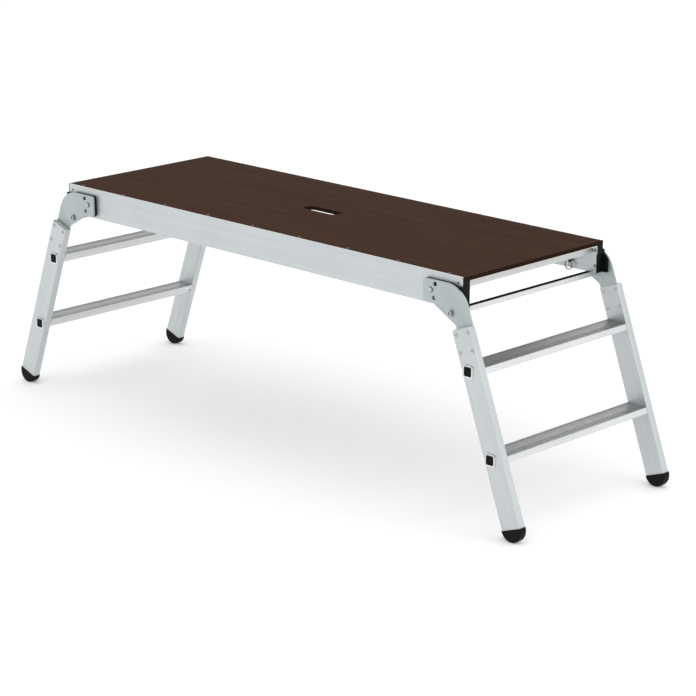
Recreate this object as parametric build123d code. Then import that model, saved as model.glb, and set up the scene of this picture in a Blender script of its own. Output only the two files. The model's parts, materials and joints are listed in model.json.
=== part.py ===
from build123d import *
import os
from math import cos, hypot, radians, sin

# Folding work platform bench. Millimetres, +Z up, origin on the floor under the deck's centre.
# X runs along the deck and Y across it. Each piece is drawn once, for the right end (+X) and the
# rear side (+Y), and mirrored to the other places.

# ---- driving dimensions ----
deck_length = 1694.0
deck_width = 600.0        # over the outer faces of the side beams
platform_height = 702.0   # floor to deck surface
leg_tilt = 20.0           # of an unfolded leg, from the vertical, in degrees
step_rises = 3            # equal rises from the floor to the deck

deck_thickness = 12.0
slot_length = 146.0       # hand slot in the deck
slot_width = 43.0

beam_height = 94.0
beam_width = 25.0
beam_wall = 2.0
beam_lip = 2.8            # upstand that borders the deck
cap_face = 3.0
cap_depth = 28.0

rail_height = 26.6        # end rail's upright, set back from the deck's end
member_height = 17.0
rail_depth = 25.0
rail_wall = 2.0
member_width = 40.0
member_places = (190.0, 520.0)   # cross members, from the deck's centre
cleat_height = 24.0
cleat_reach = 20.0
cleat_width = 22.6

pivot_inset = 109.5       # pivot from the deck's end
pivot_drop = 51.0         # pivot below the deck surface
pivot_radius = 6.0
bush_wall = 2.0
lock_radius = 24.6        # lock holes, from the pivot
lock_angle = -61.0        # lock pin seen from the pivot, in degrees from outward
pin_radius = 6.0
pin_hole_radius = 6.5
pin_stem_radius = 4.0
pin_grip = 1.0            # pin past the plate's outer face when engaged
ring_radius = 12.5        # pull ring, to the wire's centre
ring_wire = 1.5

spacer_thickness = 8.7
spacer_past = 15.0        # spacer beyond the deck's end
spacer_corner = 24.0      # its square corner at the beam's end, above the pivot
spacer_corner_width = 40.0
plate_thickness = 5.0
plate_above = 30.0        # plate's top edge above the pivot
plate_below = 37.5
plate_behind = 28.0
plate_arc = 83.7          # round shoulder
plate_top_corner = 8.0
plate_foot_corner = 3.0   # inside the stile
plate_neck = 16.0         # hollow above the stile
plate_kink_corner = 12.0
plate_low_corner = 13.0
plate_kink = 11.0         # kink of the lower edge, outward of the pivot
plate_neck_rise = 11.0    # hollow above the stile's top

stile_width = 67.0
stile_depth = 25.0
stile_wall = 2.2
stile_offset = 57.2       # stile's inner edge from the pivot, square to the leg
stile_start = 122.4       # stile's cut top from the pivot, along the leg
plate_insert = 80.0       # plate inside the stile
rivet_across = 45.0
rivet_along = 51.0
rivet_first = 13.5

crossbar_size = 15.0
crossbar_reach = 75.0     # crossbar outward of the pivot
buffer_width = 11.0
buffer_thickness = 2.0

step_sheet = 2.5
step_lip_outer = 18.0
step_lip_inner = 15.0
step_ridge = 1.5
step_groove = 3.2
step_grooves = 6
rung_size = 31.0
rung_wall = 2.0
rung_offset = 23.3        # rung's centre from the stile's inner edge, square to the leg
rung_rim = 3.0            # flare proud of the stile, and how far it spreads

foot_proud = 2.0
foot_depth = 37.0
foot_plug = 25.0

# ---- fixings ----
rivet_inset = 10.2        # deck rivets, from the beam's outer face
rivet_end = 60.3          # first deck rivet, from the deck's end
rivet_count = 9
deck_rivet_radius = 2.5
deck_rivet_head = 5.0
deck_rivet_height = 2.6   # above the deck
deck_rivet_seat = 0.6     # counterbore the head sits in
deck_rivet_bite = 2.0     # below the beam's top wall
screw_radius = 2.0        # cap screws, cleat and rail rivets
screw_head = 4.2
screw_head_height = 1.8
screw_bite = 8.0
screw_gap = 1.0           # hole past the screw's end
cap_screw_inset = 20.0    # upper screw, from the deck's end
cap_screw_drop = 18.6
cap_low_inset = 8.5       # lower screw, in the beam's inner wall
cap_low_drop = 73.3
plug_wall = 2.5
cleat_wall = 2.0
cleat_pitch = 11.0
cleat_rivet_drop = 27.5
pivot_head = 7.5
pivot_head_height = 3.2
pivot_head_edge = 1.4
nut_size = 17.0
nut_height = 5.0
rivet_radius = 4.0        # blind rivets through stile and plate
rivet_head = 6.0
rivet_head_height = 2.0
bolt_radius = 5.0         # crossbar bolts
bolt_head = 8.8
bolt_head_height = 5.0
bolt_head_edge = 1.5
bolt_socket = 4.0
bolt_socket_floor = 2.0
washer_radius = 12.5
washer_height = 1.8
bolt_bite = 18.0

# ---- lock pin ----
guide_radius = 9.0
guide_flange = 1.5
guide_flange_radius = 11.0
guide_wall = 2.0
chamber_radius = 6.9      # spring chamber
chamber_length = 13.0
pin_shoulder_in = 11.0    # shoulder from the beam's inner face
pin_nose = 1.2            # chamfer
pin_tail = 4.5            # stem past the ring
ring_gap = 0.4            # ring clear of the guide with the pin engaged
ring_hole = 2.35
spring_wire = 0.6
spring_radius = 5.6
spring_turns = 4
spring_gap = 0.1          # at each end

# ---- moulded corners ----
stile_corner = 3.0
packer_gap = 1.0
packer_start = 4.0        # packer from the stile's top
packer_tab = 2.0          # tab that shows above it, and half its thickness
packer_root = 1.0
crossbar_corner = 2.0
rung_corner = 5.5
rung_bore_corner = 4.0
rim_corner = 8.5
tread_inset = 2.5         # tread short of the stile's outer edge
plug_corner = 3.9
plug_length = 13.4
plug_sink = 0.6
foot_edge = 5.0
foot_plug_corner = 0.8

# ---- clearances ----
running = 0.05            # radial, on turning and sliding fits
corner_gap = 0.9          # plate's edges inside the stile, clear of its inner corners
snug = 0.05               # around fixed shafts
slip = 0.3                # between parts that pass each other
sliver = 0.1              # between fixed parts that slide together

# ---- derived places ----
half_length = deck_length / 2
beam_out = deck_width / 2
beam_in = beam_out - beam_width
beam_low = platform_height - beam_height
ledge = platform_height - deck_thickness
tilt_sin = sin(radians(leg_tilt))
tilt_cos = cos(radians(leg_tilt))
fold = 90.0 + leg_tilt
pivot_x = half_length - pivot_inset
pivot_z = platform_height - pivot_drop
lock_x = pivot_x + lock_radius * cos(radians(lock_angle))
lock_z = pivot_z + lock_radius * sin(radians(lock_angle))
spare_x = pivot_x + lock_radius * cos(radians(lock_angle + fold))
spare_z = pivot_z + lock_radius * sin(radians(lock_angle + fold))
spacer_face = beam_out + spacer_thickness
plate_in = spacer_face + slip
plate_out = plate_in + plate_thickness
stile_in = plate_in - stile_wall
stile_out = stile_in + stile_depth
crossbar_x = pivot_x + crossbar_reach
crossbar_z = beam_low - slip - buffer_thickness - crossbar_size / 2
rise = platform_height / step_rises
step_levels = (2 * rise, rise)
rivet_pitch = (deck_length - 2 * rivet_end) / (rivet_count - 1)
rivet_places = [-half_length + rivet_end + i * rivet_pitch for i in range(rivet_count)]
rivet_y = beam_out - rivet_inset
cap_screw_x = half_length - cap_screw_inset
cap_screw_z = platform_height - cap_screw_drop
cap_low_x = half_length - cap_low_inset
cap_low_z = platform_height - cap_low_drop
cleat_top = ledge - rail_wall
cleat_rivet_z = platform_height - cleat_rivet_drop
rail_cleat_x = half_length - (rail_depth - rail_wall) / 2
cleat_places = [side * x for x in (rail_cleat_x,) + member_places for side in (1, -1)]
rail_rivet_y = beam_in - cleat_reach / 2 - cleat_wall
pin_shoulder = beam_in + pin_shoulder_in
pin_tip = spacer_face
pin_travel = plate_out + pin_grip - pin_tip
ring_y = beam_in - guide_flange - pin_travel - ring_wire - ring_gap
stem_end = ring_y - ring_wire - pin_tail

foot_half = stile_width / 2 + foot_proud
foot_reach = hypot(foot_half * tilt_sin, foot_depth * tilt_cos)
stile_middle = stile_offset + stile_width / 2
stile_end = (pivot_z + stile_middle * tilt_sin - foot_reach) / tilt_cos

os.makedirs("parts", exist_ok=True)
nodes = {}


def keep(name, *solids):
    """Collect a node's solids."""
    nodes[name] = list(solids)


def corner(shape, end, side):
    """Mirror a right-rear shape to its own corner."""
    if end == "left":
        shape = mirror(shape, Plane.YZ)
    if side == "front":
        shape = mirror(shape, Plane.XZ)
    return shape


def leg_point(across, along):
    """Point in the XZ plane, across and along the leg from the pivot."""
    x = pivot_x + across * tilt_cos + along * tilt_sin
    z = pivot_z + across * tilt_sin - along * tilt_cos
    return (x, z)


def slab(face, low, high):
    """Extrude an XZ face from y = low to y = high."""
    return extrude(Plane.XZ.offset(-high) * face, amount=high - low)


def rod(x, z, radius, low, high):
    """Round bar along Y."""
    return slab(Pos(x, z) * Circle(radius), low, high)


def outline(points, radii):
    """Closed XZ face with rounded corners."""
    path = FilletPolyline(*points, radius=radii, close=True)
    return make_face(path.edges())


def block(x0, x1, y0, y1, z0, z1):
    """Box between two corners."""
    middle = Pos((x0 + x1) / 2, (y0 + y1) / 2, (z0 + z1) / 2)
    return middle * Box(x1 - x0, y1 - y0, z1 - z0)


# ---- deck and frame ----


def dome(radius, height):
    """Low rivet head on the XY plane."""
    ball = (radius * radius + height * height) / (2 * height)
    cap = Pos(0, 0, height - ball) * Sphere(ball)
    return cap & Pos(0, 0, height) * Box(4 * radius, 4 * radius, 2 * height)


def deck_panel():
    edge = beam_out - beam_lip - slip
    panel = block(-half_length, half_length, -edge, edge, ledge, platform_height)
    slot = extrude(Pos(0, 0, ledge) * SlotOverall(slot_length, slot_width), amount=deck_thickness)
    panel -= slot
    for x in rivet_places:
        for y in (-rivet_y, rivet_y):
            panel -= block_rod(x, y, deck_rivet_radius + snug, ledge, platform_height)
            seat = deck_rivet_head + snug
            panel -= block_rod(x, y, seat, platform_height - deck_rivet_seat, platform_height)
    return panel


def side_beam():
    length = half_length - cap_face
    box = block(-length, length, beam_in, beam_out, beam_low, ledge)
    hollow = block(-length, length, beam_in + beam_wall, beam_out - beam_wall,
                   beam_low + beam_wall, ledge - beam_wall)
    lip = block(-length, length, beam_out - beam_lip, beam_out, ledge, platform_height)
    beam = box - hollow + lip
    for x in rivet_places:
        beam -= block_rod(x, rivet_y, deck_rivet_radius + snug, ledge - beam_wall, ledge)
    for sign in (1, -1):
        beam -= rod(sign * pivot_x, pivot_z, pivot_radius + snug, beam_in, beam_out)
        beam -= rod(sign * lock_x, lock_z, guide_radius + snug, beam_in, beam_in + beam_wall)
        beam -= rod(sign * lock_x, lock_z, pin_radius + 4 * running, beam_out - beam_wall, beam_out)
        beam -= rod(sign * cap_screw_x, cap_screw_z, screw_radius + snug, beam_out - beam_wall, beam_out)
        beam -= rod(sign * cap_low_x, cap_low_z, screw_radius + snug, beam_in, beam_in + beam_wall)
    for x in cleat_places:
        for shift in (-cleat_pitch / 2, cleat_pitch / 2):
            beam -= rod(x + shift, cleat_rivet_z, screw_radius + snug, beam_in, beam_in + beam_wall)
    return beam


def deck_rivet(x):
    shaft = block_rod(x, rivet_y, deck_rivet_radius, ledge - beam_wall - deck_rivet_bite, platform_height)
    shaft += block_rod(x, rivet_y, deck_rivet_head, platform_height - deck_rivet_seat, platform_height)
    return shaft + Pos(x, rivet_y, platform_height) * dome(deck_rivet_head, deck_rivet_height)


def block_rod(x, y, radius, low, high):
    """Round bar along Z."""
    return Pos(x, y, (low + high) / 2) * Cylinder(radius, high - low)


# end caps and their screws

def end_cap():
    start = half_length - cap_face
    face = block(start, half_length, beam_in, beam_out, beam_low, ledge)
    face += block(start, half_length, beam_out - beam_lip, beam_out, ledge, platform_height)
    gap = beam_wall + sliver
    plug = block(start - cap_depth, start, beam_in + gap, beam_out - gap,
                 beam_low + gap, ledge - gap)
    inner = gap + plug_wall
    plug -= block(start - cap_depth, start - plug_wall, beam_in + inner, beam_out - inner,
                  beam_low + inner, ledge - inner)
    cap = face + plug
    cap -= rod(cap_screw_x, cap_screw_z, screw_radius + snug, beam_out - screw_bite, beam_out)
    cap -= rod(cap_low_x, cap_low_z, screw_radius + snug, beam_in, beam_in + screw_bite)
    return cap


def screw_out(x, z):
    """Screw in the beam's outer face."""
    head = Rot(-90, 0, 0) * dome(screw_head, screw_head_height)
    return rod(x, z, screw_radius, beam_out - screw_bite + screw_gap, beam_out) + Pos(x, beam_out, z) * head


def screw_in(x, z, face, bite):
    """Screw or rivet in a face that looks inwards."""
    head = Rot(90, 0, 0) * dome(screw_head, screw_head_height)
    return rod(x, z, screw_radius, face, face + bite) + Pos(x, face, z) * head


def end_rail():
    length = beam_in - cleat_wall - sliver
    back = half_length - rail_depth
    upright = block(back, back + rail_wall, -length, length, ledge - rail_height, ledge)
    flange = block(back, half_length, -length, length, ledge - rail_wall, ledge)
    rail = upright + flange
    for y in (-rail_rivet_y, rail_rivet_y):
        rail -= block_rod(rail_cleat_x, y, screw_radius + snug, ledge - rail_wall, ledge)
    return rail


def cross_member(x):
    length = beam_in - cleat_wall - sliver
    half = member_width / 2
    channel = block(x - half, x + half, -length, length, ledge - member_height, ledge)
    channel -= block(x - half + rail_wall, x + half - rail_wall, -length, length,
                     ledge - member_height, ledge - rail_wall)
    for y in (-rail_rivet_y, rail_rivet_y):
        channel -= block_rod(x, y, screw_radius + snug, ledge - rail_wall, ledge)
    return channel


def cleat(x):
    half = cleat_width / 2
    upright = block(x - half, x + half, beam_in - cleat_wall, beam_in, cleat_top - cleat_height, cleat_top)
    shelf = block(x - half, x + half, beam_in - cleat_reach - cleat_wall, beam_in,
                  cleat_top - cleat_wall, cleat_top)
    piece = upright + shelf
    piece -= block_rod(x, rail_rivet_y, screw_radius + snug, cleat_top - cleat_wall, cleat_top)
    for shift in (-cleat_pitch / 2, cleat_pitch / 2):
        piece -= rod(x + shift, cleat_rivet_z, screw_radius + snug, beam_in - cleat_wall, beam_in)
    return piece


def cleat_rivets(x):
    face = beam_in - cleat_wall
    bite = cleat_wall + beam_wall
    across = [screw_in(x + s, cleat_rivet_z, face, bite) for s in (-cleat_pitch / 2, cleat_pitch / 2)]
    under = cleat_top - cleat_wall
    upright = block_rod(x, rail_rivet_y, screw_radius, under, ledge)
    upright += Pos(x, rail_rivet_y, under) * Rot(180, 0, 0) * dome(screw_head, screw_head_height)
    return across + [upright]


# ---- hinge: spacer, plate, pivot and lock pin ----
def plate_outline():
    """Hinge plate, from the beam down into the stile."""
    inner = stile_offset + stile_wall + corner_gap
    outer = stile_offset + stile_width - stile_wall - corner_gap
    entry = leg_point(outer, stile_start)
    top = pivot_z + plate_above
    shoulder = (entry[0] - (top - entry[1]) * tilt_sin / tilt_cos, top)
    low = pivot_z - plate_below
    kink = (pivot_x + plate_kink, low)
    points = [
        (pivot_x - plate_behind, top),
        shoulder,
        leg_point(outer, stile_start + plate_insert),
        leg_point(inner, stile_start + plate_insert),
        leg_point(inner, stile_start - plate_neck_rise),
        kink,
        (pivot_x - plate_behind, low),
    ]
    radii = [plate_top_corner, plate_arc, plate_foot_corner, plate_foot_corner,
             plate_neck, plate_kink_corner, plate_low_corner]
    return outline(points, radii)


def hinge_plate():
    plate = slab(plate_outline(), plate_in, plate_out)
    plate -= rod(pivot_x, pivot_z, pivot_radius + bush_wall + snug, plate_in, plate_out)
    for x, z in ((lock_x, lock_z), (spare_x, spare_z)):
        plate -= rod(x, z, pin_hole_radius, plate_in, plate_out)
    plate -= rod(crossbar_x, crossbar_z, bolt_radius + snug, plate_in, plate_out)
    for x, z in rivet_grid():
        plate -= rod(x, z, rivet_radius + snug, plate_in, plate_out)
    return plate


def spacer():
    reach = 3 * plate_arc
    window = Pos(half_length + spacer_past - reach, beam_low + reach / 2) * Rectangle(2 * reach, reach)
    pad = slab(plate_outline() & window, beam_out, spacer_face)
    pad += block(half_length - spacer_corner_width, half_length, beam_out, spacer_face,
                 pivot_z - spacer_corner, pivot_z + spacer_corner)
    pad -= rod(cap_screw_x, cap_screw_z, screw_head + slip, beam_out, spacer_face)
    pad -= rod(pivot_x, pivot_z, pivot_radius + snug, beam_out, spacer_face)
    pad -= rod(lock_x, lock_z, pin_radius + 4 * running, beam_out, spacer_face)
    return pad


def pivot_bush():
    bush = rod(pivot_x, pivot_z, pivot_radius + bush_wall, plate_in, plate_out)
    return bush - rod(pivot_x, pivot_z, pivot_radius + running, plate_in, plate_out)


def pivot_bolt():
    seat = plate_out + slip
    bolt = rod(pivot_x, pivot_z, pivot_radius, beam_in, seat)
    head = fillet(rod(pivot_x, pivot_z, pivot_head, seat, seat + pivot_head_height)
                  .edges().filter_by(GeomType.CIRCLE).sort_by(Axis.Y)[-1:], pivot_head_edge)
    nut = slab(Pos(pivot_x, pivot_z) * RegularPolygon(nut_size / 2, 6, major_radius=False),
               beam_in - nut_height, beam_in)
    return bolt + head + nut


# lock pin: a sprung plunger in a guide through the beam
def pin_guide():
    end = beam_out - beam_wall
    body = rod(lock_x, lock_z, guide_radius, beam_in, end)
    body += rod(lock_x, lock_z, guide_flange_radius, beam_in - guide_flange, beam_in)
    body -= rod(lock_x, lock_z, pin_stem_radius + running, beam_in - guide_flange, beam_in + guide_wall)
    body -= rod(lock_x, lock_z, chamber_radius, beam_in + guide_wall, beam_in + guide_wall + chamber_length)
    body -= rod(lock_x, lock_z, pin_radius + running, beam_in + guide_wall + chamber_length, end)
    return body


def lock_pin():
    pin = rod(lock_x, lock_z, pin_radius, pin_shoulder, pin_tip)
    edges = pin.edges().filter_by(GeomType.CIRCLE).sort_by(Axis.Y)[-1:]
    pin = chamfer(edges, pin_nose)
    pin += rod(lock_x, lock_z, pin_stem_radius, stem_end, pin_shoulder)
    pin -= Pos(lock_x, ring_y, lock_z) * Rot(0, 90, 0) * Cylinder(ring_hole, 4 * pin_stem_radius)
    return pin


def pull_ring():
    return Pos(lock_x, ring_y, lock_z - ring_radius) * Rot(90, 0, 0) * Torus(ring_radius, ring_wire)


def pin_spring():
    low = beam_in + guide_wall + spring_wire + spring_gap
    high = pin_shoulder - spring_wire - spring_gap
    pitch = (high - low) / spring_turns
    helix = Helix(pitch, high - low, spring_radius)
    start = Plane(helix @ 0, z_dir=helix % 0)
    coil = sweep(start * Circle(spring_wire), path=helix)
    return Pos(lock_x, low, lock_z) * Rot(-90, 0, 0) * coil


# ---- leg: stile, packer, rivets, crossbar, steps and foot ----


def rivet_grid():
    """Rivet centres through the stile's top."""
    first = stile_middle - rivet_across / 2
    across = (first, first + rivet_across)
    along = (stile_start + rivet_first, stile_start + rivet_first + rivet_along)
    return [leg_point(a, b) for b in along for a in across]


def leg_box(inner, outer, start, end):
    """Rectangle in the leg's own directions."""
    points = [leg_point(inner, start), leg_point(outer, start),
              leg_point(outer, end), leg_point(inner, end)]
    return make_face(Polyline(*points, close=True).edges())


def tube_section(width, depth, wall, radius):
    bore = RectangleRounded(width - 2 * wall, depth - 2 * wall, radius - wall)
    return RectangleRounded(width, depth, radius) - bore


def leg_plane(along):
    """Plane square to the leg, its x across the leg."""
    x, z = leg_point(stile_middle, along)
    return Plane(origin=(x, (stile_in + stile_out) / 2, z), x_dir=(tilt_cos, 0, tilt_sin),
                 z_dir=(tilt_sin, 0, -tilt_cos))


def rung_place(level):
    """Rung centre for a step whose tread is at the given height."""
    z = level - rung_size / 2
    along = (pivot_z + (stile_offset + rung_offset) * tilt_sin - z) / tilt_cos
    return leg_point(stile_offset + rung_offset, along)


def stile():
    section = tube_section(stile_width, stile_depth, stile_wall, stile_corner)
    post = extrude(leg_plane(stile_start) * section, amount=stile_end - stile_start)
    for level in step_levels:
        x, z = rung_place(level)
        size = rung_size + 2 * sliver
        hole = Pos(x, z) * RectangleRounded(size, size, rung_corner + sliver)
        post -= slab(hole, stile_in, stile_out)
    for x, z in rivet_grid():
        post -= rod(x, z, rivet_radius + snug, stile_in, stile_out)
    return post


def packer():
    inner = stile_offset + stile_wall + packer_gap
    outer = stile_offset + stile_width - stile_wall - packer_gap
    far = stile_out - stile_wall - sliver
    near = plate_out
    body = slab(leg_box(inner, outer, stile_start + packer_start, stile_start + plate_insert), near, far)
    middle = (near + far) / 2
    root = stile_start + packer_start + packer_root
    tab = leg_box(inner, outer, stile_start - packer_tab, root)
    body += slab(tab, middle - packer_tab, middle + packer_tab)
    for x, z in rivet_grid():
        body -= rod(x, z, rivet_radius + snug, near, far)
    return body


def hinge_rivet(x, z):
    shaft = rod(x, z, rivet_radius, stile_in, stile_out)
    outside = Pos(x, stile_out, z) * Rot(-90, 0, 0) * dome(rivet_head, rivet_head_height)
    inside = Pos(x, stile_in, z) * Rot(90, 0, 0) * dome(rivet_head, rivet_head_height)
    return shaft + outside + inside


def crossbar():
    section = RectangleRounded(crossbar_size, crossbar_size, crossbar_corner)
    tube = slab(Pos(crossbar_x, crossbar_z) * section, -plate_in, plate_in)
    for low, high in ((plate_in - bolt_bite, plate_in), (-plate_in, bolt_bite - plate_in)):
        tube -= rod(crossbar_x, crossbar_z, bolt_radius + snug, low, high)
    return tube


def buffer_strip():
    low = crossbar_z + crossbar_size / 2
    return block(crossbar_x - buffer_width / 2, crossbar_x + buffer_width / 2, -plate_in, plate_in,
                 low, low + buffer_thickness)


def crossbar_bolt():
    bolt = rod(crossbar_x, crossbar_z, bolt_radius, plate_in - bolt_bite + screw_gap, plate_out)
    bolt += rod(crossbar_x, crossbar_z, washer_radius, plate_out, plate_out + washer_height)
    top = plate_out + washer_height
    head = rod(crossbar_x, crossbar_z, bolt_head, top, top + bolt_head_height)
    head = fillet(head.edges().filter_by(GeomType.CIRCLE).sort_by(Axis.Y)[-1:], bolt_head_edge)
    socket = slab(Pos(crossbar_x, crossbar_z) * RegularPolygon(bolt_socket, 6, major_radius=False),
                  top + bolt_socket_floor, top + bolt_head_height)
    return bolt + head - socket


def step(level):
    """Ribbed tread with its lips and square rung, which passes through both stiles."""
    rung_x, rung_z = rung_place(level)
    lean = tilt_sin / tilt_cos
    inner_x = rung_x - rung_offset / tilt_cos - (rung_z - level) * -lean
    outer_x = inner_x + stile_width / tilt_cos - tread_inset
    under = level - step_ridge - step_sheet
    points = [
        (inner_x, level - step_ridge),
        (outer_x, level - step_ridge),
        (outer_x + (step_lip_outer - step_ridge) * lean, level - step_lip_outer),
        (outer_x + (step_lip_outer - step_ridge) * lean - step_sheet, level - step_lip_outer),
        (outer_x - step_sheet, under),
        (inner_x + step_sheet, under),
        (inner_x + step_sheet + step_lip_inner * lean, level - step_lip_inner),
        (inner_x + step_lip_inner * lean, level - step_lip_inner),
    ]
    section = make_face(Polyline(*points, close=True).edges())
    pitch = (outer_x - inner_x + step_groove) / (step_grooves + 1)
    for i in range(step_grooves + 1):
        left = inner_x + i * pitch
        ridge = Pos(left + (pitch - step_groove) / 2, level - (step_ridge + sliver) / 2)
        section += ridge * Rectangle(pitch - step_groove, step_ridge + sliver)
    solid_rung = RectangleRounded(rung_size, rung_size, rung_corner)
    bore_size = rung_size - 2 * rung_wall
    bore = RectangleRounded(bore_size, bore_size, rung_bore_corner)
    tread = slab(section, -stile_in, stile_in)
    rung = slab(Pos(rung_x, rung_z) * solid_rung, -stile_out, stile_out)
    rim_size = rung_size + 2 * rung_rim
    rim = RectangleRounded(rim_size, rim_size, rim_corner)
    for low, high in ((stile_out, stile_out + rung_rim), (-stile_out - rung_rim, -stile_out)):
        rung += slab(Pos(rung_x, rung_z) * rim, low, high)
    piece = tread + rung
    return piece - slab(Pos(rung_x, rung_z) * bore, -stile_out - rung_rim, stile_out + rung_rim)


def step_plug(level):
    x, z = rung_place(level)
    size = rung_size - 2 * rung_wall - 2 * sliver
    end = stile_out + rung_rim - plug_sink
    return slab(Pos(x, z) * RectangleRounded(size, size, plug_corner), end - plug_length, end)


def foot():
    """Round-bottomed cap with a plug inside the stile."""
    depth = stile_depth + 2 * foot_proud
    middle = leg_point(stile_middle, stile_end)
    centre_y = (stile_in + stile_out) / 2
    oval = Pos(*middle) * Rot(0, 0, leg_tilt) * Ellipse(foot_half, foot_depth)
    below = leg_box(0, 2 * stile_middle, stile_end, stile_end + 2 * foot_depth)
    shoe = slab(oval & below, centre_y - depth / 2, centre_y + depth / 2)
    faces = [shoe.faces().sort_by(Axis.Y)[0], shoe.faces().sort_by(Axis.Y)[-1]]
    rims = [e for f in faces for e in f.edges() if e.geom_type != GeomType.LINE]
    shoe = fillet(rims, foot_edge)
    gap = stile_wall + sliver
    plug = RectangleRounded(stile_width - 2 * gap, stile_depth - 2 * gap, foot_plug_corner)
    return shoe + extrude(leg_plane(stile_end - foot_plug) * plug, amount=foot_plug)


# ---- assemble the nodes ----
keep("deck_panel", deck_panel())
beam = side_beam()
keep("beam_rear", beam)
keep("beam_front", mirror(beam, Plane.XZ))
rail = end_rail()
keep("end_rail_right", rail)
keep("end_rail_left", mirror(rail, Plane.YZ))
keep("cross_members_inner", *[cross_member(s * member_places[0]) for s in (1, -1)])
keep("cross_members_outer", *[cross_member(s * member_places[1]) for s in (1, -1)])
rear_cleats = [cleat(x) for x in cleat_places]
keep("rail_cleats", *rear_cleats, *[mirror(c, Plane.XZ) for c in rear_cleats])
rear_fixings = [r for x in cleat_places for r in cleat_rivets(x)]
keep("cleat_rivets", *rear_fixings, *[mirror(r, Plane.XZ) for r in rear_fixings])
rear_row = [deck_rivet(x) for x in rivet_places]
keep("deck_rivets_rear", *rear_row)
keep("deck_rivets_front", *[mirror(r, Plane.XZ) for r in rear_row])

cap = end_cap()
screws = [screw_out(cap_screw_x, cap_screw_z), screw_in(cap_low_x, cap_low_z, beam_in, screw_bite - screw_gap)]
pad = spacer()
bolt = pivot_bolt()
guide = pin_guide()
spring = pin_spring()
corners = [(end, side) for end in ("right", "left") for side in ("front", "rear")]
keep("cap_screws", *[corner(s, *c) for c in corners for s in screws])
keep("pivot_bolts", *[corner(bolt, *c) for c in corners])
keep("pin_guides", *[corner(guide, *c) for c in corners])
keep("pin_springs", *[corner(spring, *c) for c in corners])

plate = hinge_plate()
post = stile()
shoe = foot()
pin = lock_pin()
ring = pull_ring()
for end, side in corners:
    place = side + "_" + end
    keep("hinge_spacer_" + place, corner(pad, end, side))
    keep("hinge_plate_" + place, corner(plate, end, side))
    keep("stile_" + place, corner(post, end, side))
    keep("foot_" + place, corner(shoe, end, side))
    keep("lock_pin_" + place, corner(pin, end, side))
    keep("pull_ring_" + place, corner(ring, end, side))

bush = pivot_bush()
block_in_stile = packer()
side_bolt = crossbar_bolt()
rivets = [hinge_rivet(x, z) for x, z in rivet_grid()]
plugs = [step_plug(level) for level in step_levels]
bar = crossbar()
strip = buffer_strip()
upper = step(step_levels[0])
lower = step(step_levels[1])
for end in ("right", "left"):
    sides = ("front", "rear")
    keep("end_caps_" + end, *[corner(cap, end, s) for s in sides])
    keep("pivot_bushes_" + end, *[corner(bush, end, s) for s in sides])
    keep("stile_packers_" + end, *[corner(block_in_stile, end, s) for s in sides])
    keep("crossbar_bolts_" + end, *[corner(side_bolt, end, s) for s in sides])
    keep("hinge_rivets_" + end, *[corner(r, end, s) for s in sides for r in rivets])
    keep("step_plugs_" + end, *[corner(p, end, s) for s in sides for p in plugs])
    keep("crossbar_" + end, corner(bar, end, "rear"))
    keep("buffer_strip_" + end, corner(strip, end, "rear"))
    keep("upper_step_" + end, corner(upper, end, "rear"))
    keep("lower_step_" + end, corner(lower, end, "rear"))

for name, pieces in nodes.items():
    solids = [s for piece in pieces for s in piece.solids()]
    shape = solids[0] if len(solids) == 1 else Compound(children=solids)
    export_step(shape, "parts/" + name + ".step")

print(len(nodes), "nodes")
print("pivot", round(pivot_x, 3), round(pivot_z, 3))
print("lock pin", round(lock_x, 3), round(lock_z, 3), "travel", round(pin_travel, 3))
print("pull ring", round(ring_y, 3), "stile length", round(stile_end - stile_start, 2))
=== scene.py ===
import json
import math
import bpy
import bmesh
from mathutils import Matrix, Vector


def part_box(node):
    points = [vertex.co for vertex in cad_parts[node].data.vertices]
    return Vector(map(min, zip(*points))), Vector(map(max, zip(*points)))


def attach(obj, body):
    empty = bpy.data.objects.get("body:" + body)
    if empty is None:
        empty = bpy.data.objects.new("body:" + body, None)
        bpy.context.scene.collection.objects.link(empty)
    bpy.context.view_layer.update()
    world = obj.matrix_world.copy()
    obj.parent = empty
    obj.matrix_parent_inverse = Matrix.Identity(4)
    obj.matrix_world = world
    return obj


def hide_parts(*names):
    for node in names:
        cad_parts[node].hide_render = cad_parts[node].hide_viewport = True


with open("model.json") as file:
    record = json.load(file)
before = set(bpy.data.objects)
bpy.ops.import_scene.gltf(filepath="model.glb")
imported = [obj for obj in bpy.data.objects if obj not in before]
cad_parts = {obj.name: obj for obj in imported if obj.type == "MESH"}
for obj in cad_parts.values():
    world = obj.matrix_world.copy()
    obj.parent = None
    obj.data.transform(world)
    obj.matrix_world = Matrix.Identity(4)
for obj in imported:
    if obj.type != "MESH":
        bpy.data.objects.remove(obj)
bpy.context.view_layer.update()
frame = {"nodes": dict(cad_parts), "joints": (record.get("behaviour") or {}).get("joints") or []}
scene = bpy.context.scene
print("frame loaded:", len(frame["nodes"]), "nodes")

# the legs' tilt and the deck's heights come from the frame
joints = {j["name"]: j for j in frame["joints"]}
legTilt = math.radians(joints["right_leg_fold"]["range_deg"][1] - 90)
tiltSin, tiltCos = math.sin(legTilt), math.cos(legTilt)
deckLow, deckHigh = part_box("deck_panel")
ends = ("right", "left")


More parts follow.
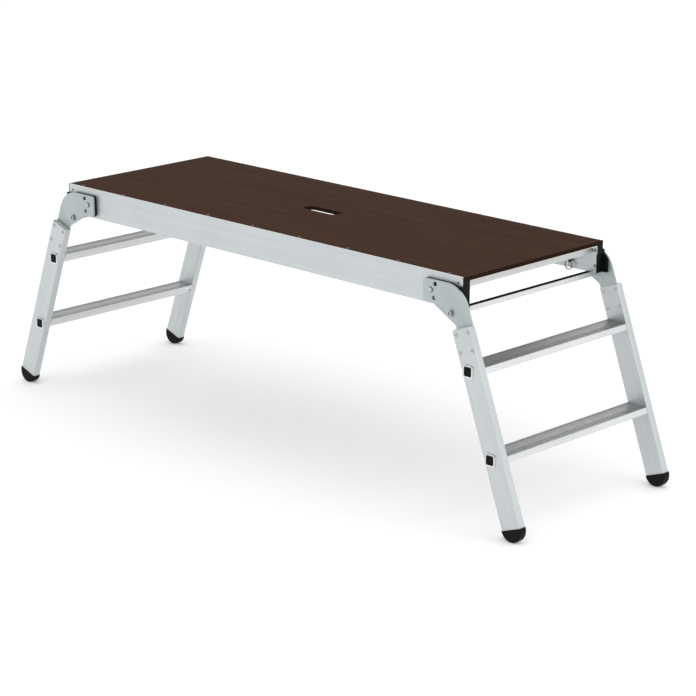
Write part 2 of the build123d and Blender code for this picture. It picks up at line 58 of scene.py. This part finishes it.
# a socket that takes part in sums
class Value:
    def __init__(self, tree, socket):
        self.tree, self.socket = tree, socket

    def mathNode(self, operation, first, second):
        node = self.tree.nodes.new("ShaderNodeMath")
        node.operation = operation
        for place, item in enumerate((first, second)):
            if isinstance(item, Value):
                self.tree.links.new(item.socket, node.inputs[place])
            elif item is not None:
                node.inputs[place].default_value = item
        return Value(self.tree, node.outputs[0])

    def __add__(self, other):
        return self.mathNode("ADD", self, other)

    def __radd__(self, other):
        return self.mathNode("ADD", other, self)

    def __sub__(self, other):
        return self.mathNode("SUBTRACT", self, other)

    def __rsub__(self, other):
        return self.mathNode("SUBTRACT", other, self)

    def __mul__(self, other):
        return self.mathNode("MULTIPLY", self, other)

    def __rmul__(self, other):
        return self.mathNode("MULTIPLY", other, self)

    def __gt__(self, other):
        return self.mathNode("GREATER_THAN", self, other)

    def larger(self, other):
        return self.mathNode("MAXIMUM", self, other)

    def size(self):
        return self.mathNode("ABSOLUTE", self, None)


# one material and the nodes that make it
class Finish:
    def __init__(self, name, fixed):
        self.material = bpy.data.materials.new(name)
        self.material.use_nodes = True
        self.tree = self.material.node_tree
        self.tree.nodes.clear()
        self.shader = self.tree.nodes.new("ShaderNodeBsdfPrincipled")
        out = self.tree.nodes.new("ShaderNodeOutputMaterial")
        self.tree.links.new(self.shader.outputs[0], out.inputs["Surface"])
        for socket, amount in fixed.items():
            self.shader.inputs[socket].default_value = amount
        self.place = self.node("ShaderNodeTexCoord", {}, {}, "Object")
        self.facing = self.node("ShaderNodeTexCoord", {}, {}, "Normal")

    def node(self, kind, settings, inputs, output=0):
        made = self.tree.nodes.new(kind)
        for key, setting in settings.items():
            if key == "stops":
                while len(made.color_ramp.elements) < len(setting):
                    made.color_ramp.elements.new(0.5)
                for element, (where, shade) in zip(made.color_ramp.elements, setting):
                    element.position = where
                    element.color = (shade, shade, shade, 1) if isinstance(shade, float) else (*shade, 1)
            else:
                setattr(made, key, setting)
        for key, item in inputs.items():
            if isinstance(item, Value):
                self.tree.links.new(item.socket, made.inputs[key])
            else:
                made.inputs[key].default_value = item
        return Value(self.tree, made.outputs[output])

    def along(self, direction, source=None):
        # how far a point lies in one direction, in metres
        return self.node("ShaderNodeVectorMath", {"operation": "DOT_PRODUCT"},
                         {0: source or self.place, 1: direction}, "Value")

    def noise(self, where, scale, detail=2.0, rough=0.5):
        return self.node("ShaderNodeTexNoise", {}, {"Vector": where, "Scale": scale, "Detail": detail,
                                                    "Roughness": rough}, 0)

    def vector(self, x, y, z):
        return self.node("ShaderNodeCombineXYZ", {}, {0: x, 1: y, 2: z})

    def ramp(self, value, *stops):
        return self.node("ShaderNodeValToRGB", {"stops": stops}, {0: value})

    def blend(self, amount, first, second):  # a mix of two colours
        first, second = [c if isinstance(c, Value) else (*c, 1) for c in (first, second)]
        return self.node("ShaderNodeMix", {"data_type": "RGBA"}, {0: amount, 6: first, 7: second}, 2)

    def bump(self, height, strength, distance, normal=None):
        inputs = {"Height": height, "Strength": strength, "Distance": distance}
        if normal:
            inputs["Normal"] = normal
        return self.node("ShaderNodeBump", {}, inputs)

    def softEdge(self, radius):  # a normal that rounds off sharp edges
        return self.node("ShaderNodeBevel", {"samples": 4}, {"Radius": radius})

    def feed(self, **links):
        names = {"colour": "Base Color", "rough": "Roughness", "normal": "Normal"}
        for key, value in links.items():
            self.tree.links.new(value.socket, self.shader.inputs[names[key]])
        return self.material


drawnMetal = {
    "lineWidth": 0.0009,     # fine die lines of the extrusion
    "bandWidth": 0.011,      # broader tones across them
    "lineRun": 6,            # how fast lines, bands and marks change along the length
    "bandRun": 1.5,
    "markRun": 14,
    "markAcross": 260,
    "markTone": 0.12,
    "cloud": 5.0,
    "edge": 0.0007,          # rounding of sharp edges
}

# the treads' ribs, with the colour and strength of the painted shade put in their grooves
treadRibs = {
    "rise": deckHigh.z / 3,      # the treads' ribs end at equal rises
    "depth": 0.0014,
    "gap": 0.0002,
    "tone": (0.05, 0.052, 0.054),
    "strength": 0.8,
}


def drawnAluminium(name, bright, dark, direction, metal=0.62, rough=0.36, paintedTopLight=None, shadeGrooves=False):
    finish = Finish(name, {"IOR": 1.45, "Metallic": metal})
    run = Vector(direction).normalized()
    crossA = run.orthogonal().normalized()
    crossB = run.cross(crossA)
    far = finish.along(tuple(run))
    offA = finish.along(tuple(crossA))
    offB = finish.along(tuple(crossB))
    fine = 1 / drawnMetal["lineWidth"]
    broad = 1 / drawnMetal["bandWidth"]
    lines = finish.noise(finish.vector(offA * fine, offB * fine, far * drawnMetal["lineRun"]), 1.0, 2.0, 0.6)
    bands = finish.noise(finish.vector(offA * broad, offB * broad, far * drawnMetal["bandRun"]), 1.0, 2.0)
    cloud = finish.noise(finish.place, drawnMetal["cloud"], 3.0)
    across = drawnMetal["markAcross"]
    short = finish.vector(offA * across, offB * across, far * drawnMetal["markRun"])
    marks = finish.ramp(finish.noise(short, 1.0, 1.0), (0.66, 0.0), (0.74, 1.0))
    tone = lines * 0.34 + bands * 0.33 + cloud * 0.33
    spread = finish.ramp(tone, (0.36, 0.0), (0.64, 1.0))
    colour = finish.blend(spread, dark, bright)
    colour = finish.blend(marks * drawnMetal["markTone"], colour, tuple(c * 0.72 for c in dark))
    if paintedTopLight:
        # upward faces get painted light: a painted highlight on the beams' tops and painted shade on the
        # treads' tops, broken up in uneven patches
        upward = finish.ramp(finish.along((0, 0, 1), finish.facing), (0.6, 0.0), (0.8, 1.0))
        patchy = finish.ramp(finish.noise(finish.place, 38.0, 4.0), (0.35, 0.82), (0.7, 1.0))
        colour = finish.blend(upward * patchy, colour, paintedTopLight)
    # painted shade in the grooves between the treads' ribs
    if shadeGrooves:
        height = finish.along((0, 0, 1)) + treadRibs["gap"]
        within = height.mathNode("MODULO", height, treadRibs["rise"])
        grooveShade = within > (treadRibs["rise"] - treadRibs["depth"])
        colour = finish.blend(grooveShade * treadRibs["strength"], colour, treadRibs["tone"])
    smooth = lines * 0.1 + cloud * 0.14 + (rough - 0.12)
    edge = finish.softEdge(drawnMetal["edge"])
    normal = finish.bump(lines, 0.16, 0.0002, edge)
    return finish.feed(colour=colour, rough=smooth + marks * 0.12, normal=normal)


plateMetal = {
    "grain": 900.0,
    "wipeAcross": 90,        # faint wiping marks
    "wipeRun": 9,
    "cloud": 9.0,
    "dark": (0.385, 0.435, 0.44),
    "light": (0.45, 0.5, 0.504),
    "speck": (0.6, 0.63, 0.64),
    "edge": 0.0006,
}


# matt grey plate with a fine tumbled grain
def rolledPlate():
    finish = Finish("hingePlateGrey", {"Metallic": 0.55})
    grain = finish.noise(finish.place, plateMetal["grain"], 2.0)
    across = plateMetal["wipeAcross"]
    wipe = finish.noise(finish.vector(finish.along((0.6, 0, 0.8)) * across, finish.along((0, 1, 0)) * across,
                                      finish.along((0.8, 0, -0.6)) * plateMetal["wipeRun"]), 1.0, 3.0)
    cloud = finish.noise(finish.place, plateMetal["cloud"], 3.0)
    tone = finish.ramp(wipe * 0.5 + cloud * 0.5, (0.35, 0.0), (0.65, 1.0))
    colour = finish.blend(tone, plateMetal["dark"], plateMetal["light"])
    specks = finish.ramp(grain, (0.62, 0.0), (0.8, 1.0))
    colour = finish.blend(specks * 0.18, colour, plateMetal["speck"])
    edge = finish.softEdge(plateMetal["edge"])
    return finish.feed(colour=colour, rough=cloud * 0.16 + grain * 0.08 + 0.32,
                       normal=finish.bump(grain, 0.12, 0.0002, edge))


deckFilm = {
    "shine": 0.004,
    "brown": (0.059, 0.028, 0.0158),
    "deep": (0.036, 0.0172, 0.0098),
    "light": (0.078, 0.041, 0.0255),
    "pore": (0.028, 0.015, 0.011),
    "dust": (0.2, 0.16, 0.135),
    "plies": 9,
    "plyDark": (0.008, 0.005, 0.004),
    "plyLight": (0.034, 0.0185, 0.0115),
}


# brown phenolic film with faint grain along the board, and sealed plies on the cut edges
def filmedPlywood():
    finish = Finish("deckFilm", {"IOR": 1.5, "Metallic": 0.0, "Specular IOR Level": deckFilm["shine"]})
    x, y = finish.along((1, 0, 0)), finish.along((0, 1, 0))
    wander = finish.noise(finish.place, 1.6, 2.0) * 0.05
    streak = finish.noise(finish.vector(x * 2.6, (y + wander) * 95, 0.0), 1.0, 5.0, 0.62)
    broad = finish.noise(finish.vector(x * 0.9, (y + wander) * 22, 3.7), 1.0, 3.0)
    pores = finish.ramp(finish.noise(finish.vector(x * 26, y * 620, 1.3), 1.0, 2.0), (0.62, 0.0), (0.74, 1.0))
    tone = finish.ramp(streak * 0.6 + broad * 0.4, (0.34, 0.0), (0.66, 1.0))
    colour = finish.blend(tone, deckFilm["deep"], deckFilm["brown"])
    bright = finish.ramp(streak, (0.56, 0.0), (0.72, 1.0))
    colour = finish.blend(bright * 0.55, colour, deckFilm["light"])
    colour = finish.blend(pores * 0.5, colour, deckFilm["pore"])
    dust = finish.ramp(finish.noise(finish.place, 3.2, 5.0, 0.65), (0.5, 0.0), (0.78, 1.0))
    colour = finish.blend(dust * 0.05, colour, deckFilm["dust"])
    depth = (finish.along((0, 0, 1)) - deckLow.z) * (deckFilm["plies"] * math.pi / (deckHigh.z - deckLow.z))
    layer = depth.mathNode("SINE", depth, None)
    fibres = finish.noise(finish.vector(x * 240, y * 240, finish.along((0, 0, 1)) * 700), 1.0, 2.0)
    cut = finish.blend(finish.ramp(layer * 0.3 + fibres, (0.35, 0.0), (0.75, 1.0)),
                       deckFilm["plyDark"], deckFilm["plyLight"])
    onEdge = finish.ramp(finish.along((0, 0, 1), finish.facing).size(), (0.4, 1.0), (0.6, 0.0))
    colour = finish.blend(onEdge, colour, cut)
    rough = 0.43 + dust * 0.14 + streak * 0.06 + onEdge * 0.2
    mesh = finish.noise(finish.vector(x * 900, y * 900, 0.0), 1.0, 1.0)
    normal = finish.bump(streak * 0.6 + mesh * 0.4 + pores * -0.8, 0.14, 0.0003)
    return finish.feed(colour=colour, rough=rough, normal=normal)


moulding = {
    "shine": 0.07,
    "cloud": 24.0,
    "scuff": 90.0,
    "scuffTone": (0.05, 0.05, 0.049),
    "edge": 0.0008,
}


# black moulded part with a spark-eroded grain and slightly greyed scuffs in random spots
def mouldedBlack(name, base, rough, grain, height):
    finish = Finish(name, {"IOR": 1.5, "Metallic": 0.0, "Specular IOR Level": moulding["shine"]})
    fine = finish.noise(finish.place, grain, 2.0)
    cloud = finish.noise(finish.place, moulding["cloud"], 4.0)
    scuff = finish.ramp(finish.noise(finish.place, moulding["scuff"], 5.0, 0.7), (0.58, 0.0), (0.76, 1.0))
    colour = finish.blend(cloud, tuple(c * 0.7 for c in base), base)
    colour = finish.blend(scuff * 0.16, colour, moulding["scuffTone"])
    normal = finish.bump(fine, 0.35, height, finish.softEdge(moulding["edge"]))
    return finish.feed(colour=colour, rough=cloud * 0.16 + scuff * 0.1 + (rough - 0.1), normal=normal)


rubberFoot = {
    "shine": 0.08,
    "grain": 1100.0,
    "dustTop": 0.017,        # height at which the dust ends
    "clean": (0.0045, 0.0045, 0.005),
    "patchy": (0.009, 0.009, 0.0095),
    "dust": (0.06, 0.057, 0.053),
}


# rubber foot, dusty where it meets the ground
def footRubber():
    finish = Finish("footRubber", {"IOR": 1.5, "Metallic": 0.0, "Specular IOR Level": rubberFoot["shine"]})
    fine = finish.noise(finish.place, rubberFoot["grain"], 2.0)
    cloud = finish.noise(finish.place, 30.0, 4.0)
    low = finish.ramp(finish.along((0, 0, 1)) + (cloud * 0.012), (0.004, 1.0), (rubberFoot["dustTop"], 0.0))
    colour = finish.blend(cloud, rubberFoot["clean"], rubberFoot["patchy"])
    colour = finish.blend(low * 0.3, colour, rubberFoot["dust"])
    normal = finish.bump(fine * 0.5 + cloud * 0.5, 0.3, 0.0004)
    return finish.feed(colour=colour, rough=0.5 + low * 0.25 + cloud * 0.1, normal=normal)


plating = {
    "blotch": 130.0,
    "sparkle": 1400.0,
    "dull": (0.24, 0.24, 0.24),
    # colour of the painted shade on the heads' slopes
    "slopeShade": (0.06, 0.062, 0.063),
    "edge": 0.0004,
}


# zinc plated steel, blotchy, with painted shade on the slopes of its heads
def platedSteel(name, base, yellow, slope=0.0):
    finish = Finish(name, {"Metallic": 0.9})
    cloud = finish.noise(finish.place, plating["blotch"], 4.0, 0.6)
    fine = finish.noise(finish.place, plating["sparkle"], 2.0)
    tone = finish.ramp(cloud, (0.36, 0.0), (0.64, 1.0))
    colour = finish.blend(tone, base, yellow)
    specks = finish.ramp(fine, (0.6, 0.0), (0.8, 1.0))
    colour = finish.blend(specks * 0.25, colour, plating["dull"])
    # painted shade on the sloped faces of the heads
    if slope:
        flat = finish.along((0, 1, 0), finish.facing).size().larger(
            finish.along((0, 0, 1), finish.facing).size())
        side = finish.ramp(flat, (0.94, 1.0), (0.985, 0.0))
        colour = finish.blend(side * slope, colour, plating["slopeShade"])
    normal = finish.bump(fine, 0.1, 0.0002, finish.softEdge(plating["edge"]))
    return finish.feed(colour=colour, rough=cloud * 0.2 + 0.22, normal=normal)


lightMetal = (0.58, 0.61, 0.622)
darkMetal = (0.5, 0.53, 0.543)
legRun = (tiltSin, 0, -tiltCos)
finishes = {
    "deck": filmedPlywood(),
    # the beams' tops get a painted highlight
    "beam": drawnAluminium("beamAluminium", lightMetal, darkMetal, (1, 0, 0), paintedTopLight=(0.95, 0.95, 0.95)),
    "rail": drawnAluminium("railAluminium", (0.58, 0.595, 0.585), (0.51, 0.52, 0.515), (0, 1, 0)),
    "cross": drawnAluminium("crossbarAluminium", (0.7, 0.71, 0.715), (0.62, 0.63, 0.635), (0, 1, 0)),
    # the treads' tops get painted shade, and the grooves of their ribs get painted shade too
    "tread": drawnAluminium("treadAluminium", (0.72, 0.73, 0.735), (0.62, 0.63, 0.64), (0, 1, 0),
                            paintedTopLight=(0.3, 0.31, 0.315), shadeGrooves=True),
    "stileRight": drawnAluminium("stileAluminiumRight", lightMetal, darkMetal, legRun),
    "stileLeft": drawnAluminium("stileAluminiumLeft", lightMetal, darkMetal, (-tiltSin, 0, -tiltCos)),
    "plate": rolledPlate(),
    "plastic": mouldedBlack("capPlastic", (0.0035, 0.0055, 0.005), 0.42, 900.0, 0.0003),
    "pad": mouldedBlack("spacerPlastic", (0.0045, 0.005, 0.005), 0.5, 700.0, 0.0004),
    "strip": mouldedBlack("bufferRubber", (0.005, 0.005, 0.0053), 0.62, 1300.0, 0.0004),
    "rubber": footRubber(),
    "rivet": platedSteel("rivetMetal", (0.42, 0.44, 0.45), (0.55, 0.57, 0.57), 0.95),
    "zinc": platedSteel("zincPlate", (0.42, 0.45, 0.46), (0.55, 0.56, 0.54), 0.7),
    "ring": platedSteel("ringSteel", (0.12, 0.13, 0.135), (0.26, 0.27, 0.26), 0.5),
}
print("finishes made:", len(finishes))


def finishOf(node):
    kinds = (("deck_panel", "deck"), ("beam_", "beam"), ("end_rail", "rail"), ("cross_members", "rail"),
             ("crossbar_bolts", "zinc"), ("crossbar", "cross"), ("rail_cleats", "rail"),
             ("upper_step", "tread"), ("lower_step", "tread"), ("hinge_plate", "plate"),
             ("hinge_spacer", "pad"), ("end_caps", "plastic"), ("step_plugs", "plastic"),
             ("pivot_bushes", "plastic"), ("buffer_strip", "strip"), ("foot_", "rubber"),
             ("stile_packers", "cross"), ("pivot_bolts", "zinc"), ("pin_", "zinc"), ("lock_pin", "zinc"),
             ("pull_ring", "ring"))
    if node.startswith(("stile_front", "stile_rear")):
        return finishes["stileLeft" if node.endswith("left") else "stileRight"]
    for opening, kind in kinds:
        if node.startswith(opening):
            return finishes[kind]
    return finishes["rivet"]


for node, piece in frame["nodes"].items():
    piece.data.materials.clear()
    piece.data.materials.append(finishOf(node))
print("finishes put on the frame")


# names the new primitive and goes into edit mode on faces, with nothing selected
def start(name):
    piece = bpy.context.object
    piece.name = name
    bpy.ops.object.mode_set(mode="EDIT")
    bpy.context.tool_settings.mesh_select_mode = (False, False, True)
    bpy.ops.mesh.select_all(action="DESELECT")
    return piece


# selects the faces that a test on centre and normal accepts
def pickFaces(piece, wanted):
    bpy.ops.mesh.select_all(action="DESELECT")
    shape = bmesh.from_edit_mesh(piece.data)
    for face in shape.faces:
        face.select_set(wanted(face.calc_center_median(), face.normal))
    shape.select_flush_mode()
    bmesh.update_edit_mesh(piece.data)


def done(piece, angle=35):
    bpy.ops.mesh.select_all(action="SELECT")
    bpy.ops.mesh.normals_make_consistent(inside=False)
    bpy.ops.object.mode_set(mode="OBJECT")
    bpy.ops.object.shade_smooth_by_angle(angle=math.radians(angle))
    return piece


# puts the place and turn into the mesh
def settle(piece):
    bpy.ops.object.select_all(action="DESELECT")
    piece.select_set(True)
    bpy.context.view_layer.objects.active = piece
    bpy.ops.object.transform_apply(location=True, rotation=True, scale=True)


def join(name, pieces):
    bpy.ops.object.select_all(action="DESELECT")
    for piece in pieces:
        piece.select_set(True)
    bpy.context.view_layer.objects.active = pieces[0]
    bpy.ops.object.join()
    whole = bpy.context.object
    whole.name = name
    return whole


def copyOf(piece):
    twin = piece.copy()
    twin.data = piece.data.copy()
    scene.collection.objects.link(twin)
    return twin


# middle and size of each separate solid of a CAD node
def islandCentres(node):
    shape = bmesh.new()
    shape.from_mesh(frame["nodes"][node].data)
    bmesh.ops.remove_doubles(shape, verts=shape.verts, dist=1e-6)
    seen, centres = set(), []
    for first in shape.verts:
        if first in seen:
            continue
        group, queue = [], [first]
        seen.add(first)
        while queue:
            vert = queue.pop()
            group.append(vert.co.copy())
            for edge in vert.link_edges:
                other = edge.other_vert(vert)
                if other not in seen:
                    seen.add(other)
                    queue.append(other)
        low = Vector([min(c[i] for c in group) for i in range(3)])
        high = Vector([max(c[i] for c in group) for i in range(3)])
        centres.append(((low + high) / 2, high - low))
    shape.free()
    return centres


# blind rivets through the stiles
blindRivet = {
    "head": 0.006,       # radius
    "height": 0.002,
    "band": 0.44,        # share of the radius in the flat outer band
    "dimple": 0.0021,    # radius of the hollow left by the mandrel
    "depth": 0.0009,
    "stub": 0.35,        # the mandrel's stub: how far in from the hollow's side, and how far up it
    "stubRise": 0.55,
    "shank": 0.004,
    "around": 28,
    "shankAround": 16,
    "smooth": 40,        # degrees
}


# flat head with a hollow centre and the mandrel's stub, facing +Z, its thickness centred on z = 0
def rivetHead(size):
    r, h = size["head"], size["height"]
    bpy.ops.mesh.primitive_cylinder_add(vertices=size["around"], radius=r, depth=h, location=(0, 0, 0))
    head = start("rivetHead")
    pickFaces(head, lambda centre, normal: normal.z > 0.9)
    bpy.ops.mesh.inset(thickness=r * size["band"])
    bpy.ops.mesh.inset(thickness=r * (1 - size["band"]) - size["dimple"])
    bpy.ops.mesh.extrude_region_move(TRANSFORM_OT_translate={"value": (0, 0, -size["depth"])})
    bpy.ops.mesh.inset(thickness=size["dimple"] * size["stub"])
    rise = size["depth"] * size["stubRise"]
    bpy.ops.mesh.extrude_region_move(TRANSFORM_OT_translate={"value": (0, 0, rise)})
    return done(head, size["smooth"])


# one rivet along Y about the origin: each head is centred on an end of its shank, half sunk in the metal
def wholeRivet(size, reach):
    seat = reach / 2 - size["height"]
    rearHead = rivetHead(size)
    frontHead = copyOf(rearHead)
    for head, place, turn in ((rearHead, seat, -1), (frontHead, -seat, 1)):
        head.rotation_euler = (turn * math.pi / 2, 0, 0)
        head.location = (0, place, 0)
        settle(head)
    bpy.ops.mesh.primitive_cylinder_add(vertices=size["shankAround"], radius=size["shank"], depth=2 * seat,
                                        location=(0, 0, 0), rotation=(math.pi / 2, 0, 0))
    shank = bpy.context.object
    settle(shank)
    return join("blindRivet", [rearHead, frontHead, shank])


def makeRivets(end, pattern):
    node = "hinge_rivets_" + end
    made = []
    for centre, extent in islandCentres(node):
        rivet = copyOf(pattern)
        rivet.location = centre
        settle(rivet)
        made.append(rivet)
    rivets = join("stileRivets." + end, made)
    rivets.data.materials.clear()
    rivets.data.materials.append(finishes["rivet"])
    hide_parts(node)
    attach(rivets, end + "_leg")


firstCentre, firstExtent = islandCentres("hinge_rivets_right")[0]
pattern = wholeRivet(blindRivet, firstExtent.y)
for end in ends:
    makeRivets(end, pattern)
bpy.data.objects.remove(pattern)
print("stile rivets made")

studio = {
    "floorSize": 120,
    "floor": (0.97, 0.97, 0.972),
    "glow": 0.12,
    "sky": (1.0, 1.0, 1.0),
    "skyStrength": 1.0,
    "keyPower": 36,
    "keyPlace": (4.6, 0.6, 2.6),
    "fillPower": 8,
    "fillPlace": (-1.5, -4.5, 3.0),
    "aim": (0, 0, 0.4),
}


def paleFloor():
    finish = Finish("paleFloor", {"Metallic": 0.0, "Emission Color": (1, 1, 1, 1),
                                  "Emission Strength": studio["glow"]})
    tint = finish.noise(finish.place, 0.4, 2.0)
    low = tuple(c * 0.995 for c in studio["floor"])
    bpy.ops.mesh.primitive_plane_add(size=studio["floorSize"], location=(0, 0, 0))
    floor = bpy.context.object
    floor.name = "floor"
    floor.data.materials.append(finish.feed(colour=finish.blend(tint, low, studio["floor"]),
                                            rough=tint * 0.1 + 0.85))


def softLight(name, place, size, power):
    lamp = bpy.data.lights.new(name, "AREA")
    lamp.shape = "SQUARE"
    lamp.size = size
    lamp.energy = power
    holder = bpy.data.objects.new(name, lamp)
    scene.collection.objects.link(holder)
    holder.location = place
    holder.rotation_mode = "QUATERNION"
    holder.rotation_quaternion = (Vector(studio["aim"]) - Vector(place)).to_track_quat("-Z", "Y")


paleFloor()
world = bpy.data.worlds.new("studioSky")
world.use_nodes = True
world.node_tree.nodes["Background"].inputs["Color"].default_value = (*studio["sky"], 1)
world.node_tree.nodes["Background"].inputs["Strength"].default_value = studio["skyStrength"]
scene.world = world
softLight("keyLight", studio["keyPlace"], 3.0, studio["keyPower"])
softLight("fillLight", studio["fillPlace"], 3.5, studio["fillPower"])
scene.view_settings.view_transform = "Standard"

cameraSetup = {
    "azimuth": math.radians(44.62),
    "elevation": math.radians(16.37),
    "place": (4.996, -4.952, 2.332),
    "lens": 122.72,
    "sensor": 36,
}
lens = bpy.data.cameras.new("camera")
lens.lens = cameraSetup["lens"]
lens.sensor_width = cameraSetup["sensor"]
camera = bpy.data.objects.new("camera", lens)
scene.collection.objects.link(camera)
camera.location = cameraSetup["place"]
around, up = cameraSetup["azimuth"], cameraSetup["elevation"]
look = Vector((-math.sin(around) * math.cos(up), math.cos(around) * math.cos(up), -math.sin(up)))
camera.rotation_mode = "QUATERNION"
camera.rotation_quaternion = look.to_track_quat("-Z", "Y")
scene.camera = camera
print("studio and camera set")
